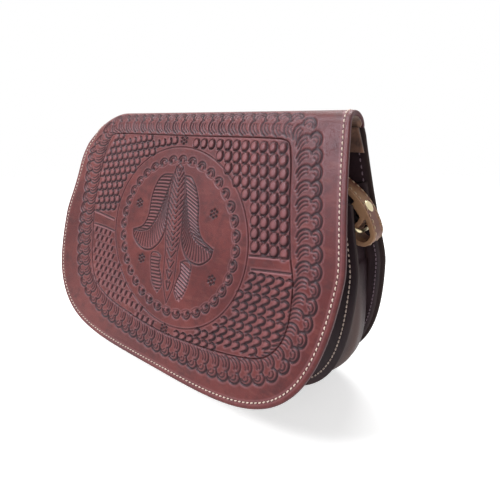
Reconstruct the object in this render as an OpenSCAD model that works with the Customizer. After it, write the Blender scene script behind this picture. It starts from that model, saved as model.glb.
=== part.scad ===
// Saddle-shaped leather crossbody bag: a tooled flap folds over a straight top
// fold, two panels and a gusset make the body, and the strap is stowed inside.
// X is the width, -Y the front, +Z up. The origin is the middle of the base.

/* [Body] */
// Height of the top fold above the base
bag_height = 178; // [150:1:200]
// Depth of the body at the base
body_depth = 54; // [50:1:60]
// Half width of the outline at its widest
half_width = 120; // [105:1:130]
// Half width at the top fold
top_half_width = 104; // [95:1:115]
// Drop from the top fold to the widest level
widest_drop = 86.5; // [75:0.5:95]
// Depth that is left between the panels' planes at the level of the top fold
top_depth = 20.4; // [17:0.1:24]
// Leather thickness of the body panels
panel_t = 2.4; // [2:0.1:2.8]
// How far the front panel is cut inside the flap's outline
front_inset = 3.9; // [2:0.1:6]
// How far the back panel is cut inside the flap's outline
back_inset = 0.9; // [0.5:0.1:3]
// How far the front panel's top edge is drawn back
mouth_draw = 2.5; // [2:0.1:3]

/* [Flap] */
// Length of the flap from the top fold to its tip
flap_length = 173.4; // [160:0.1:180]
// Angle at which the flap stands off from upright, in degrees
flap_lean = 19.7; // [17:0.1:22]
// Outer radius of the top fold
fold_r = 10; // [9:0.1:11]
// Thickness of the tooled leather
flap_t = 2.4; // [2:0.1:2.8]
// Thickness of the suede lining
lining_t = 0.8; // [0.6:0.1:1.2]
// How far the flap's sides curl forward
side_curl = 6.4; // [3:0.1:8]
// Depth of the flap leather's sewn strip inside the back panel
anchor_depth = 13; // [10:0.5:16]

/* [Gusset] */
// Leather thickness of the gusset
gusset_t = 1.8; // [1.4:0.1:2]
// Width of the sewn flanges
flange_w = 9.2; // [8:0.1:9.5]
// Distance of a flange's edge from the panel's edge
flange_edge = 2; // [1:0.1:3]
// How far the gusset's middle lies inside the outline near the mouth
gusset_fold_in = 12; // [11.5:0.1:13]
// Dip of the gusset's top edge at its middle
gusset_scoop = 8; // [7:0.5:9]

/* [Strap and rings] */
// Strap width
strap_w = 14; // [12:0.5:14]
// Strap thickness
strap_t = 2.6; // [2.2:0.1:3]
// Wire diameter of the rings
ring_wire = 2; // [1.6:0.1:2]
// Reach of a ring from its bar to the far side of its wire's centre
ring_reach = 10; // [9:0.5:11]
// Leather thickness of the ring tabs
tab_t = 1.6; // [1.2:0.1:1.8]
// Head diameter of the strap rivets
rivet_head_d = 7; // [6:0.5:9]

/* [Magnetic snap] */
// Diameter of the snap's two discs
snap_d = 17; // [14:1:19]
// Thickness of the socket on the front panel
socket_t = 3.4; // [2.5:0.1:3.5]
// Thickness of the stud's disc on the flap
stud_t = 1.8; // [1.2:0.1:1.9]

/* [Hidden] */
$fn = 48;

seat = 0.3; // gap between soft pieces that only lie close
cut = 0.5; // overrun of cuts
base_flat = 0.5; // depth by which the curved bottom is pressed flat
ridge_press = 1; // how far the gusset's ridge is pressed against the ground
glue = 0.1; // layer of glue between the flap and its lining

// Outline: a side curve and a bottom curve that meet at the widest level.
// Shares of the drop to the widest level, of the half width and of the bottom's height.
side_pull_share = 0.709;
side_end_share = 0.857;
side_swell_share = 0.575;
bottom_pull_share = 0.932;
bottom_reach_share = 0.7014;
// Curve values, from 0 at the fold to 2 at the tip, where the mouth ends.
front_mouth_share = 0.32;
back_mouth_share = 0.24;
outline_steps = 30;
panel_steps = 16;

function bezier(p, t) = pow(1 - t, 3) * p[0] + 3 * pow(1 - t, 2) * t * p[1]
    + 3 * (1 - t) * t * t * p[2] + t * t * t * p[3];
function bezier_dir(p, t) = let (d = pow(1 - t, 2) * (p[1] - p[0])
    + 2 * (1 - t) * t * (p[2] - p[1]) + t * t * (p[3] - p[2])) d / norm(d);
function side_curve() = [
    [top_half_width, 0],
    [top_half_width + side_swell_share * (half_width - top_half_width), side_pull_share * widest_drop],
    [half_width, side_end_share * widest_drop],
    [half_width, widest_drop]
];
function bottom_curve(length) = [
    [half_width, widest_drop],
    [half_width, widest_drop + bottom_pull_share * (length - widest_drop)],
    [bottom_reach_share * half_width, length],
    [0, length]
];
// Point [half width, drop] at curve value q, cut inside by inset.
function outline(q, length, inset) =
    let (p = q < 1 ? side_curve() : bottom_curve(length), t = q < 1 ? q : q - 1,
         d = bezier_dir(p, t))
    bezier(p, t) - inset * [d[1], -d[0]];

// Planes of the body. The back panel leans forward towards the fold.
back_lean = atan2(body_depth - top_depth, bag_height);
fold_z = bag_height - fold_r;
fold_y = body_depth / 2 - fold_z * tan(back_lean) - fold_r / cos(back_lean);
front_length = bag_height + front_inset + base_flat;
back_length = bag_height / cos(back_lean) + back_inset + base_flat;
mouth_z = bag_height - outline(front_mouth_share, front_length, front_inset)[1];
draw_start_share = 0.6; // share of the mouth's height where the front panel starts to draw back

function smooth(t) = let (c = min(max(t, 0), 1)) c * c * (3 - 2 * c);
function mix(a, b, k) = a * (1 - k) + b * k;
function front_y(z) = mouth_draw * smooth((z / mouth_z - draw_start_share) / (1 - draw_start_share))
    - body_depth / 2;
function back_y(z) = body_depth / 2 - z * tan(back_lean);

// Point on the front panel, depth into the leather, and on the back panel.
function on_front(p, depth) = let (z = max(bag_height - p[1], 0)) [p[0], front_y(z) + depth, z];
function on_back(p, depth) = let (z = max(bag_height - p[1] * cos(back_lean), 0))
    [p[0], back_y(z) - depth / cos(back_lean), z];

// Sheet from rows of points: each row runs across from left to right, and
// outer and inner are the same rows on the two faces.
module sheet(outer, inner) {
    rows = len(outer);
    across = len(outer[0]);
    size = rows * across;
    function at(i, j, side) = side * size + i * across + j;
    faces = concat(
        [for (i = [0:rows - 2], j = [0:across - 2]) each [
            [at(i, j, 0), at(i + 1, j, 0), at(i + 1, j + 1, 0)],
            [at(i, j, 0), at(i + 1, j + 1, 0), at(i, j + 1, 0)],
            [at(i, j, 1), at(i + 1, j + 1, 1), at(i + 1, j, 1)],
            [at(i, j, 1), at(i, j + 1, 1), at(i + 1, j + 1, 1)]]],
        [for (i = [0:rows - 2]) each [
            [at(i, 0, 0), at(i, 0, 1), at(i + 1, 0, 1)],
            [at(i, 0, 0), at(i + 1, 0, 1), at(i + 1, 0, 0)],
            [at(i, across - 1, 0), at(i + 1, across - 1, 1), at(i, across - 1, 1)],
            [at(i, across - 1, 0), at(i + 1, across - 1, 0), at(i + 1, across - 1, 1)]]],
        [for (j = [0:across - 2]) each [
            [at(0, j, 0), at(0, j + 1, 1), at(0, j, 1)],
            [at(0, j, 0), at(0, j + 1, 0), at(0, j + 1, 1)],
            [at(rows - 1, j, 0), at(rows - 1, j, 1), at(rows - 1, j + 1, 1)],
            [at(rows - 1, j, 0), at(rows - 1, j + 1, 1), at(rows - 1, j + 1, 0)]]]);
    polyhedron(points = concat([for (r = outer) each r], [for (r = inner) each r]), faces = faces);
}

// Curve values from q0 to just short of the tip, where a row keeps some width.
tip_share = 1.93;
function steps(q0, count) = [for (i = [0:count]) mix(q0, tip_share, i / count)];
// Shares of a row's half width, denser towards the edges.
row_shares = [-1, -0.9, -0.7, -0.4, 0, 0.4, 0.7, 0.9, 1];

// Front panel: the front face of the bag, drawn back a little at the mouth.
module front_panel() {
    heights = [for (i = [0:panel_steps]) mix(-cut, mouth_z + cut, i / panel_steps)];
    color([0.18, 0.13, 0.14]) difference() {
        intersection() {
            translate([0, body_depth, 0]) rotate([90, 0, 0]) linear_extrude(height = 2 * body_depth)
                polygon(both_sides([for (q = steps(front_mouth_share, outline_steps))
                    let (p = outline(q, front_length, front_inset)) [p[0], max(bag_height - p[1], 0)]]));
            rotate([90, 0, 90]) linear_extrude(height = 3 * half_width, center = true)
                polygon(concat([for (z = heights) [front_y(z), z]],
                    reversed([for (z = heights) [front_y(z) + panel_t, z]])));
        }
        translate([0, front_y(snap_z), snap_z]) rotate([-90, 0, 0])
            cylinder(r = snap_post_r + snap_play, h = 4 * panel_t, center = true);
    }
}
// Closed outline from the points of its right half.
function both_sides(p) = concat(p, [for (v = reversed(p)) [-v[0], v[1]]]);
function reversed(p) = [for (i = [len(p) - 1:-1:0]) p[i]];

// The seam where the moving flap ends: the rear tangent point of the fold.
seam_z = fold_z + fold_r * sin(back_lean);
seam_y = fold_y + fold_r * cos(back_lean);
seam_drop = (bag_height - seam_z) / cos(back_lean);
back_top_share = 0.07; // curve value of the back panel's first point below the seam

// Children are drawn in the back panel's plane, X across and Y down from the
// fold, and are as thick as t from a depth below its outer face.
module on_back_plane(depth, t) {
    translate([0, back_y(bag_height), bag_height]) rotate([back_lean, 0, 0])
        translate([0, -depth, 0]) rotate([90, 0, 0]) mirror([0, 1, 0])
            linear_extrude(height = t) children();
}

// Back panel: one flat hide from the fold's seam down to the base.
module back_panel() {
    color([0.17, 0.13, 0.14]) difference() {
        on_back_plane(0, panel_t) polygon(both_sides(concat([[top_half_width, seam_drop + seat / 2]],
            [for (q = steps(back_top_share, outline_steps)) outline(q, back_length, back_inset)])));
        translate([-half_width, 0, -body_depth]) cube([2 * half_width, 2 * body_depth, body_depth]);
    }
}

// Flap leather's sewn strip on the inside of the back panel, below the seam.
module flap_anchor() {
    low = seam_drop + seat + anchor_depth;
    color([0.42, 0.26, 0.22]) on_back_plane(panel_t, flap_t)
        polygon(both_sides([[top_half_width - flange_edge, seam_drop + seat],
            [outline(back_mouth_share, back_length, back_inset)[0] - 2 * flange_edge, low]]));
}

// Gusset: a strip with outward flanges, sewn to both panels, hollow between
// them and swelling outwards from the mouth down to the base.
gusset_swell_share = 0.34; // share of the way to the base where the swell starts
gusset_full_share = 0.62; // share of the way where the swell is full
gusset_settle_share = 0.68; // share of the way where the swell starts to flatten
gusset_rest_share = 0.88; // share of the way from which the gusset lies flat
corner_swell = 2; // how far the full swell presses past the outline
bulge_shares = [0.12, 0.3, 0.5, 0.7, 0.88];
function gusset_inset(p, k) = let (
        grow = smooth((p - gusset_swell_share) / (gusset_full_share - gusset_swell_share)),
        settle = smooth((p - gusset_settle_share) / (gusset_rest_share - gusset_settle_share)),
        middle = mix(mix(gusset_fold_in, -corner_swell, grow), -ridge_press, settle))
    mix(flange_edge + flange_w, middle, sqrt(sin(180 * k)));
// Point at share p of the way from the mouth to the base and share k from front
// to back, inset from the outline, with a distance off the nearer panel.
function gusset_at(p, k, inset, off) = let (
        q_front = mix(front_mouth_share, 2, p),
        q_back = mix(back_mouth_share, 2, p),
        front = on_front(outline(q_front, front_length, front_inset + inset), panel_t),
        back = on_back(outline(q_back, back_length, back_inset + inset), panel_t),
        across = (back - front) / norm(back - front),
        dip = gusset_scoop * sqrt(max(sin(180 * k), 0)) * (1 - smooth(p / gusset_swell_share)))
    mix(front, back, k) + off * across - [0, 0, dip];
function above(v, low) = [v[0], v[1], max(v[2], low)];
function gusset_ring(p) = let (root = flange_edge + flange_w) concat(
    [gusset_at(p, 0, flange_edge, 0), gusset_at(p, 0, flange_edge, gusset_t),
     gusset_at(p, 0, root, gusset_t)],
    [for (k = bulge_shares) above(gusset_at(p, k, gusset_inset(p, k), 0), 0)],
    [gusset_at(p, 1, root, -gusset_t), gusset_at(p, 1, flange_edge, -gusset_t),
     gusset_at(p, 1, flange_edge, 0), gusset_at(p, 1, root + gusset_t, 0)],
    [for (i = [len(bulge_shares) - 1:-1:0]) let (k = bulge_shares[i])
        above(gusset_at(p, k, gusset_inset(p, k) + gusset_t, 0), gusset_t)],
    [gusset_at(p, 0, root + gusset_t, 0)]);

module gusset() {
    count = 26;
    half = [for (i = [0:count]) gusset_ring(i / count)];
    rings = concat(half, [for (i = [count - 1:-1:0]) [for (v = half[i]) [-v[0], v[1], v[2]]]]);
    n = len(rings[0]);
    cap = bridge(n);
    color([0.22, 0.16, 0.16]) polyhedron(points = [for (r = rings) each r], faces = concat(
        [for (i = [0:len(rings) - 2], j = [0:n - 1]) let (m = (j + 1) % n) each [
            [i * n + j, (i + 1) * n + m, (i + 1) * n + j], [i * n + j, i * n + m, (i + 1) * n + m]]],
        [for (f = cap) [f[2], f[1], f[0]]],
        [for (f = cap) [for (v = f) v + (len(rings) - 1) * n]]));
}
// Triangles that close the gusset's cut end, from its outer to its inner points.
function bridge(n) = let (out = len(bulge_shares) + 5, last = n - 1) concat(
    [[0, 1, 2], [0, 2, last]],
    [for (i = [0:len(bulge_shares)]) each [
        [last - i, 2 + i, 3 + i], [last - i, 3 + i, last - i - 1]]],
    [[out - 2, out - 1, out], [out - 2, out, out + 1]]);

// Flap: point across at u and v along the leather from the top of the fold,
// at a depth below the tooled face. Negative v runs back over the fold.
fold_turn = 90 - flap_lean;
arc_length = fold_r * fold_turn * PI / 180;
seam_turn = back_lean - 90;
rear_length = -fold_r * seam_turn * PI / 180;
curl_run_share = 1.4; // run over which the curl grows, as a share of the fold's rear
function flap_at(u, v, depth) = let (
        a = min(v / fold_r * 180 / PI, fold_turn),
        s = max(v - arc_length, 0),
        curl_run = curl_run_share * rear_length,
        curl = side_curl * pow(u / half_width, 2) * smooth((v + rear_length) / curl_run))
    [u, fold_y - (fold_r - depth) * sin(a) - s * cos(fold_turn) - curl,
     fold_z + (fold_r - depth) * cos(a) - s * sin(fold_turn)];
close_limit = 13.2; // degrees that the flap still swings in from its rest
relief = 16; // bevel of the flap's rear edge, so that it can swing in
function seam_v(depth) = fold_r * (seam_turn * PI / 180
    + (depth * tan(relief) + seat) / (fold_r - depth));

rear_shares = [0, 0.17, 0.34, 0.5, 0.67, 0.84]; // shares of the way from the seam to the fold's top
fold_end_share = 0.225; // curve value where the fold has ended
fold_steps = 5;
flap_steps = 26;
module flap_sheet(depth, t, inset) {
    function rear_row(k, d) = [for (s = row_shares)
        let (v = mix(seam_v(d), 0, k)) flap_at(s * (top_half_width - inset), v, d)];
    function row(q, d) = let (p = outline(q, flap_length, inset))
        [for (s = row_shares) flap_at(s * p[0], p[1], d)];
    values = concat([for (i = [0:fold_steps - 1]) mix(0, fold_end_share, i / fold_steps)],
        [for (i = [0:flap_steps]) mix(fold_end_share, tip_share, i / flap_steps)]);
    sheet(concat([for (k = rear_shares) rear_row(k, depth)], [for (q = values) row(q, depth)]),
          concat([for (k = rear_shares) rear_row(k, depth + t)], [for (q = values) row(q, depth + t)]));
}
module flap() {
    color([0.49, 0.33, 0.31]) flap_sheet(0, flap_t, 0);
}
module flap_lining() {
    color([0.42, 0.28, 0.22]) difference() {
        flap_sheet(flap_t + glue, lining_t, cut);
        on_flap(snap_drop, 0) cylinder(r = snap_post_r + snap_play, h = 8 * lining_t, center = true);
    }
}
// Children stand on the flap's inner face at drop v, their +Z pointing to the bag.
module on_flap(v, depth) {
    p = flap_at(0, v, depth + flap_t + glue + lining_t);
    translate(p) rotate([-90 - flap_lean, 0, 0]) children();
}

// Magnetic snap: a socket riveted through the front panel and a stud through
// the lining, which meet when the flap swings in.
snap_drop = 128;
snap_post_r = 2.2;
snap_play = 0.05;
snap_bore_r = 4;
plate_t = 0.5;
peg_h = 1.1;
function swung(p, angle) = let (y = p[1] - seam_y, z = p[2] - seam_z)
    [p[0], seam_y + y * cos(angle) - z * sin(angle), seam_z + y * sin(angle) + z * cos(angle)];
snap_z = swung(flap_at(0, snap_drop, flap_t + glue + lining_t), close_limit)[2];
module snap_socket() {
    color([0.72, 0.68, 0.5]) translate([0, front_y(snap_z), snap_z]) rotate([90, 0, 0]) difference() {
        union() {
            cylinder(d = snap_d, h = socket_t);
            translate([0, 0, -panel_t]) cylinder(r = snap_post_r, h = panel_t + cut);
        }
        translate([0, 0, socket_t - 2 * peg_h]) cylinder(r = snap_bore_r, h = 2 * peg_h + cut);
    }
}
module snap_socket_plate() {
    color([0.6, 0.58, 0.5]) translate([0, front_y(snap_z) + panel_t, snap_z]) rotate([-90, 0, 0])
        cylinder(d = snap_d - 2 * flange_edge, h = plate_t);
}
module snap_stud() {
    color([0.72, 0.68, 0.5]) on_flap(snap_drop, 0) {
        cylinder(d = snap_d, h = stud_t);
        translate([0, 0, -lining_t]) cylinder(r = snap_post_r, h = lining_t + stud_t);
        cylinder(r = snap_post_r, h = stud_t + peg_h);
    }
}

// Ring tabs: a strip folded round the ring's bar and riveted to the gusset.
bar_share = 0.0375; // share of the way from the mouth to the base where the ring's bar lies
tab_length = 7.4;
tab_w = strap_w - 2 * tab_t;
bar_play = 0.1;
ring_play = 0.3;
tab_low = gusset_at(bar_share, 0.5, gusset_inset(bar_share, 0.5), 0);
tab_high = gusset_at(0, 0.5, gusset_inset(0, 0.5), 0);
tab_tilt = atan2(tab_low[0] - tab_high[0], tab_high[2] - tab_low[2]);
eye_r = ring_wire / 2 + bar_play + tab_t;
bar_z = tab_low[2];
// The tab's back clears the gusset behind it, from the mouth down to below the bar.
tab_level_shares = [0, 1, 1.4]; // levels behind the tab, as shares of the way down to the bar
tab_cover_shares = [0.3, 0.5, 0.76]; // places from front to back that the tab covers
bar_x = max([for (s = tab_level_shares, k = tab_cover_shares)
    let (p = s * bar_share, v = gusset_at(p, k, gusset_inset(p, k), 0))
    v[0] + ((v[2] - bar_z) * sin(tab_tilt) + eye_r + seat) / cos(tab_tilt)]);
arm_y = strap_w / 2 + ring_play + ring_wire / 2;
strap_y = front_y(bar_z) + panel_t + gusset_t + seat + arm_y + ring_wire / 2;

// Children lie in the plane of the strap's path, where their Y is the height,
// and are drawn out through a width that is centred on the strap.
module across(width) {
    translate([0, strap_y + width / 2, 0]) rotate([90, 0, 0]) linear_extrude(height = width) children();
}
module mirrored(side) {
    mirror([side < 0 ? 1 : 0, 0, 0]) children();
}
module on_tab() {
    translate([bar_x, strap_y, bar_z]) rotate([0, -tab_tilt, 0]) children();
}
tab_post_r = 1.2;
tab_head_r = 2;
tab_head_t = 0.8;
tab_rivet_up = 4.8;
module ring_tab(side) {
    color([0.15, 0.11, 0.12]) mirrored(side) difference() {
        on_tab() difference() {
            union() {
                rotate([90, 0, 0]) cylinder(r = eye_r, h = tab_w, center = true);
                translate([-eye_r, -tab_w / 2, 0]) cube([2 * tab_t, tab_w, tab_length]);
            }
            rotate([90, 0, 0]) cylinder(r = ring_wire / 2 + bar_play, h = tab_w + 2 * cut, center = true);
        }
        on_tab() translate([-eye_r, 0, tab_rivet_up]) rotate([0, 90, 0])
            cylinder(r = tab_post_r, h = 6 * tab_t, center = true);
    }
}
module tab_rivet(side) {
    color([0.72, 0.68, 0.5]) mirrored(side) on_tab()
        translate([-eye_r, 0, tab_rivet_up]) rotate([0, 90, 0]) {
            cylinder(r = tab_post_r, h = 2 * tab_t);
            translate([0, 0, 2 * tab_t])
                cylinder(r1 = tab_head_r, r2 = tab_head_r - tab_head_t, h = tab_head_t);
        }
}

// D-rings: a straight bar in the tab's eye, two arms, round corners and a front bar.
ring_droop = 15; // degrees by which the ring hangs below level
corner_r = 3;
module ring(side) {
    color([0.8, 0.74, 0.55]) mirrored(side) translate([bar_x, strap_y, bar_z]) rotate([0, ring_droop, 0]) {
        rotate([90, 0, 0]) cylinder(d = ring_wire, h = 2 * arm_y, center = true);
        translate([ring_reach, 0, 0]) rotate([90, 0, 0])
            cylinder(d = ring_wire, h = 2 * (arm_y - corner_r), center = true);
        for (end = [-1, 1]) mirror([0, end < 0 ? 1 : 0, 0]) {
            translate([0, arm_y, 0]) sphere(d = ring_wire);
            translate([0, arm_y, 0]) rotate([0, 90, 0]) cylinder(d = ring_wire, h = ring_reach - corner_r);
            translate([ring_reach - corner_r, arm_y - corner_r, 0])
                rotate_extrude(angle = 90) translate([corner_r, 0]) circle(d = ring_wire);
        }
    }
}

// Band of the strap's thickness along a path of [x, z] points.
function path_dir(p, i) = let (a = p[max(i - 1, 0)], b = p[min(i + 1, len(p) - 1)]) (b - a) / norm(b - a);
function beside(p, off) = [for (i = [0:len(p) - 1]) let (d = path_dir(p, i)) p[i] + off * [-d[1], d[0]]];
module band(p) {
    polygon(concat(beside(p, strap_t / 2), reversed(beside(p, -strap_t / 2))));
}
function arc(centre, r, from, to, count) = [for (i = [0:count])
    let (a = mix(from, to, i / count)) centre + r * [cos(a), sin(a)]];

// Strap loop: the strap's end comes out of the mouth, passes outside the
// ring, turns under it and rises again through the ring to the rivet.
loop_play = 6.5; // room for the ring's wire inside the turn
turn_drop = 1.5; // how far the turn's centre lies below the ring's wire
turn_r = (ring_wire + loop_play + strap_t) / 2;
turn_from = 20; // angles of the turn's two ends, in degrees
turn_to = -175;
turn_centre = [bar_x + ring_reach * cos(ring_droop) + seat,
    bar_z - ring_reach * sin(ring_droop) - turn_drop];
turn_start = turn_centre + turn_r * [cos(turn_from), sin(turn_from)];
bend_in = 21; // how far the bend at the mouth lies inside the turn's centre
bend_up = 29; // and how far above it
bend_slope = 28; // slope of the leg below the bend, in degrees
bend_pull = 14;
turn_pull = 14; // pulls of the leg's two ends on its curve
bend = turn_centre + [-bend_in, bend_up];
leg_curve = [bend, bend + bend_pull * [cos(bend_slope), -sin(bend_slope)],
    turn_start + turn_pull * [-sin(turn_from), cos(turn_from)], turn_start];
rivet_share = 0.66; // share of the leg where the rivet sits
join_share = 0.74; // share where the returning end meets the leg
end_share = 0.5; // share where it stops
leg_steps = 14;
turn_steps = 16;
rise_steps = 6;
rise_pull_share = 1 / 3; // pull of the rise's two ends as a share of its height
lap_share = 0.92; // share of the thickness between the two layers, which press together
lap = lap_share * strap_t;
function leg(t) = bezier(leg_curve, t);
function under_leg(t) = let (d = bezier_dir(leg_curve, t)) leg(t) + lap * [d[1], -d[0]];
rivet_post_r = 1.5;
rivet_head_t = 1.2;
under_head_share = 0.8; // radius of a rivet's lower head as a share of its upper head's
function leg_tilt(t) = let (d = bezier_dir(leg_curve, t)) atan2(d[1], d[0]);
module at_rivet() {
    p = leg(rivet_share);
    translate([p[0], strap_y, p[1]]) rotate([0, -leg_tilt(rivet_share), 0]) children();
}
module strap_loop(side) {
    turn = arc(turn_centre, turn_r, turn_from, turn_to, turn_steps);
    up = turn[turn_steps];
    meet = under_leg(join_share);
    meet_dir = bezier_dir(leg_curve, join_share);
    pull = rise_pull_share * (meet[1] - up[1]);
    rise = [up, up + pull * [-sin(turn_to + 180), cos(turn_to + 180)], meet + pull * meet_dir, meet];
    color([0.51, 0.39, 0.27]) mirrored(side) difference() {
        across(strap_w) union() {
            band(concat([for (i = [0:leg_steps - 1]) leg(i / leg_steps)], turn));
            band(concat([for (i = [0:rise_steps]) bezier(rise, i / rise_steps)],
                [for (i = [1:rise_steps]) under_leg(mix(join_share, end_share, i / rise_steps))]));
        }
        at_rivet() {
            cylinder(r = rivet_post_r, h = 5 * strap_t, center = true);
            translate([0, 0, strap_t / 2]) cylinder(d = rivet_head_d, h = strap_t);
            translate([0, 0, -lap - 3 * strap_t / 2])
                cylinder(d = under_head_share * rivet_head_d, h = strap_t);
        }
    }
}
module strap_rivet(side) {
    color([0.85, 0.8, 0.66]) mirrored(side) at_rivet() {
        translate([0, 0, -lap - strap_t / 2]) cylinder(r = rivet_post_r, h = lap + strap_t);
        translate([0, 0, strap_t / 2]) rivet_head(rivet_head_d / 2);
        translate([0, 0, -lap - strap_t / 2]) mirror([0, 0, 1])
            rivet_head(under_head_share * rivet_head_d / 2);
    }
}
module rivet_head(r) {
    rotate_extrude() intersection() {
        translate([0, rivet_head_t - (r * r + rivet_head_t * rivet_head_t) / (2 * rivet_head_t)])
            circle(r = (r * r + rivet_head_t * rivet_head_t) / (2 * rivet_head_t));
        square([r, rivet_head_t]);
    }
}

// Strap: from one mouth bend it turns down inside the bag, lies folded in
// level runs one above the other, and climbs to the other bend.
run_count = 7;
run_pitch = 10;
run_low = 14;
run_half = 62;
entry_r = 6;
leg_turn_r = 10;
entry = bend + seat * [-cos(bend_slope), sin(bend_slope)];
entry_centre = entry - entry_r * [sin(bend_slope), cos(bend_slope)];
inner_x = entry_centre[0] - entry_r;
function over_mouth(x_side) = [for (p = arc(entry_centre, entry_r, 90 - bend_slope, 180, 8))
    [x_side * p[0], p[1]]];
function stowed_path() = let (
        half_pitch = run_pitch / 2,
        top = run_low + (run_count - 1) * run_pitch,
        right_leg = arc([inner_x - leg_turn_r, run_low + leg_turn_r], leg_turn_r, 0, -90, 6),
        left_leg = arc([leg_turn_r - inner_x, top + leg_turn_r], leg_turn_r, 270, 180, 6),
        turns = [for (i = [0:run_count - 2]) let (s = i % 2 == 0 ? -1 : 1,
            c = [s * run_half, run_low + (i + 0.5) * run_pitch])
            each arc(c, half_pitch, -90, s < 0 ? -270 : 90, 8)])
    concat(over_mouth(1), right_leg, turns, left_leg, reversed(over_mouth(-1)));
module strap() {
    color([0.51, 0.39, 0.27]) across(strap_w) band(stowed_path());
}

front_panel();
back_panel();
flap_anchor();
gusset();
ring_tab(1);  // ring_tab_right
ring_tab(-1);  // ring_tab_left
tab_rivet(1);  // tab_rivet_right
tab_rivet(-1);  // tab_rivet_left
snap_socket();
snap_socket_plate();
strap();
flap();
flap_lining();
snap_stud();
ring(1);  // ring_right
ring(-1);  // ring_left
strap_loop(1);  // strap_loop_right
strap_loop(-1);  // strap_loop_left
strap_rivet(1);  // strap_rivet_right
strap_rivet(-1);  // strap_rivet_left
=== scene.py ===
import math
import bpy
import numpy as np
from mathutils import Matrix, Vector


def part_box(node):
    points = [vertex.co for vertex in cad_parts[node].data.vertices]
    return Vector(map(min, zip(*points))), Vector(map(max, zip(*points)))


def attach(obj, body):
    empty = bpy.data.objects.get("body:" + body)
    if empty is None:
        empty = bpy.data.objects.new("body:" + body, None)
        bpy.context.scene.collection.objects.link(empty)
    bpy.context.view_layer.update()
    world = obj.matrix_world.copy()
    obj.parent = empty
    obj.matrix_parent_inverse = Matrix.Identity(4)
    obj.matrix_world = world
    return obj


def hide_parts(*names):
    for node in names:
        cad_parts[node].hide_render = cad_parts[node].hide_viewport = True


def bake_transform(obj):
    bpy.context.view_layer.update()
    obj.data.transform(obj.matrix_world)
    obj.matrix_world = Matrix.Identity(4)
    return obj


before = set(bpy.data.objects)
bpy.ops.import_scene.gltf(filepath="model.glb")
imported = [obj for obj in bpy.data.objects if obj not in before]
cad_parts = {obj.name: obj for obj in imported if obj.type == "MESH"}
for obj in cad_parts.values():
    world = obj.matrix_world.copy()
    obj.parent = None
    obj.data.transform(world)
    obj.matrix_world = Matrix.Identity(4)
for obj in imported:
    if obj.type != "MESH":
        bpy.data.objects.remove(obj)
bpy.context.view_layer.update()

# Sizes of the bag in millimetres, as the frame has them
bag = {"height": 178.0, "depth": 54.0, "half": 120.0, "topHalf": 104.0, "widest": 86.5,
       "topDepth": 20.4, "panel": 2.4, "frontInset": 3.9, "backInset": 0.9, "draw": 2.5,
       "flapLength": 173.4, "flapLean": 19.7, "foldR": 10.0, "flapT": 2.4, "liningT": 0.8,
       "glue": 0.1, "curl": 6.4, "anchor": 13.0, "flat": 0.5, "seat": 0.3,
       "gussetT": 1.8, "flange": 9.2, "edge": 2.0, "round": 0.8, "foldIn": 12.0, "scoop": 8.0,
       "frontMouth": 0.32, "backMouth": 0.24}
mm = 0.001
lean = math.atan2(bag["depth"] - bag["topDepth"], bag["height"])
foldZ = bag["height"] - bag["foldR"]
foldY = bag["depth"] / 2 - foldZ * math.tan(lean) - bag["foldR"] / math.cos(lean)
foldTurn = math.radians(90 - bag["flapLean"])
arcLength = bag["foldR"] * foldTurn
rearLength = bag["foldR"] * (math.pi / 2 - lean)
frontLength = bag["height"] + bag["frontInset"] + bag["flat"]
backLength = bag["height"] / math.cos(lean) + bag["backInset"] + bag["flat"]
seamDrop = (bag["height"] - foldZ - bag["foldR"] * math.sin(lean)) / math.cos(lean)


def smooth(t):
    c = np.clip(t, 0, 1)
    return c * c * (3 - 2 * c)


def mix(a, b, k):
    return a * (1 - k) + b * k


def cubic(a, b, c, d, t):
    return (1 - t) ** 3 * a + 3 * (1 - t) ** 2 * t * b + 3 * (1 - t) * t * t * c + t ** 3 * d


# Points across the bag at one drop from the fold's top
def level(start, end, count, drop, last=True):
    return np.stack([np.linspace(start, end, count, endpoint=last), np.full(count, drop)], -1)


# Half outline of the hides: half width and drop from the fold's top
def outline(q, length, inset):
    q, inset = np.broadcast_arrays(np.asarray(q, float), np.asarray(inset, float))
    top, half, drop = bag["topHalf"], bag["half"], bag["widest"]
    side = np.array([[top, 0], [top + 0.575 * (half - top), 0.709 * drop],
                     [half, 0.857 * drop], [half, drop]])
    low = np.array([[half, drop], [half, drop + 0.932 * (length - drop)],
                    [0.7014 * half, length], [0, length]])
    t = np.where(q < 1, q, q - 1)[..., None]
    p = np.where((q < 1)[..., None, None], side, low)
    a, b, c, d = p[..., 0, :], p[..., 1, :], p[..., 2, :], p[..., 3, :]
    point = cubic(a, b, c, d, t)
    way = (1 - t) ** 2 * (b - a) + 2 * (1 - t) * t * (c - b) + t * t * (d - c)
    way = way / np.linalg.norm(way, axis=-1, keepdims=True)
    return point - inset[..., None] * np.stack([way[..., 1], -way[..., 0]], -1)


mouthZ = bag["height"] - outline(bag["frontMouth"], frontLength, bag["frontInset"])[1]


def frontY(z):
    return bag["draw"] * smooth((z / mouthZ - 0.6) / 0.4) - bag["depth"] / 2


# The left end of the fold sags a little, as a used bag's does, and the flap flares below it
sag = {"drop": 8.0, "start": 79, "over": 25, "most": 1.2, "power": 1.6, "low": 138, "rise": 38}
flares = [{"far": 8.3, "start": 88, "over": 18, "low": -2, "rise": 24, "high": 16, "fall": 56},
          {"far": 2.2, "start": 70, "over": 44, "low": 36, "rise": 40, "high": 122, "fall": 44}]


def settle(points):
    out = np.array(points, float)
    share = np.clip((-out[..., 0] - sag["start"]) / sag["over"], 0, sag["most"]) ** sag["power"]
    share = share * smooth((out[..., 2] - sag["low"]) / sag["rise"])
    out[..., 2] = out[..., 2] - sag["drop"] * share
    return out


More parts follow.
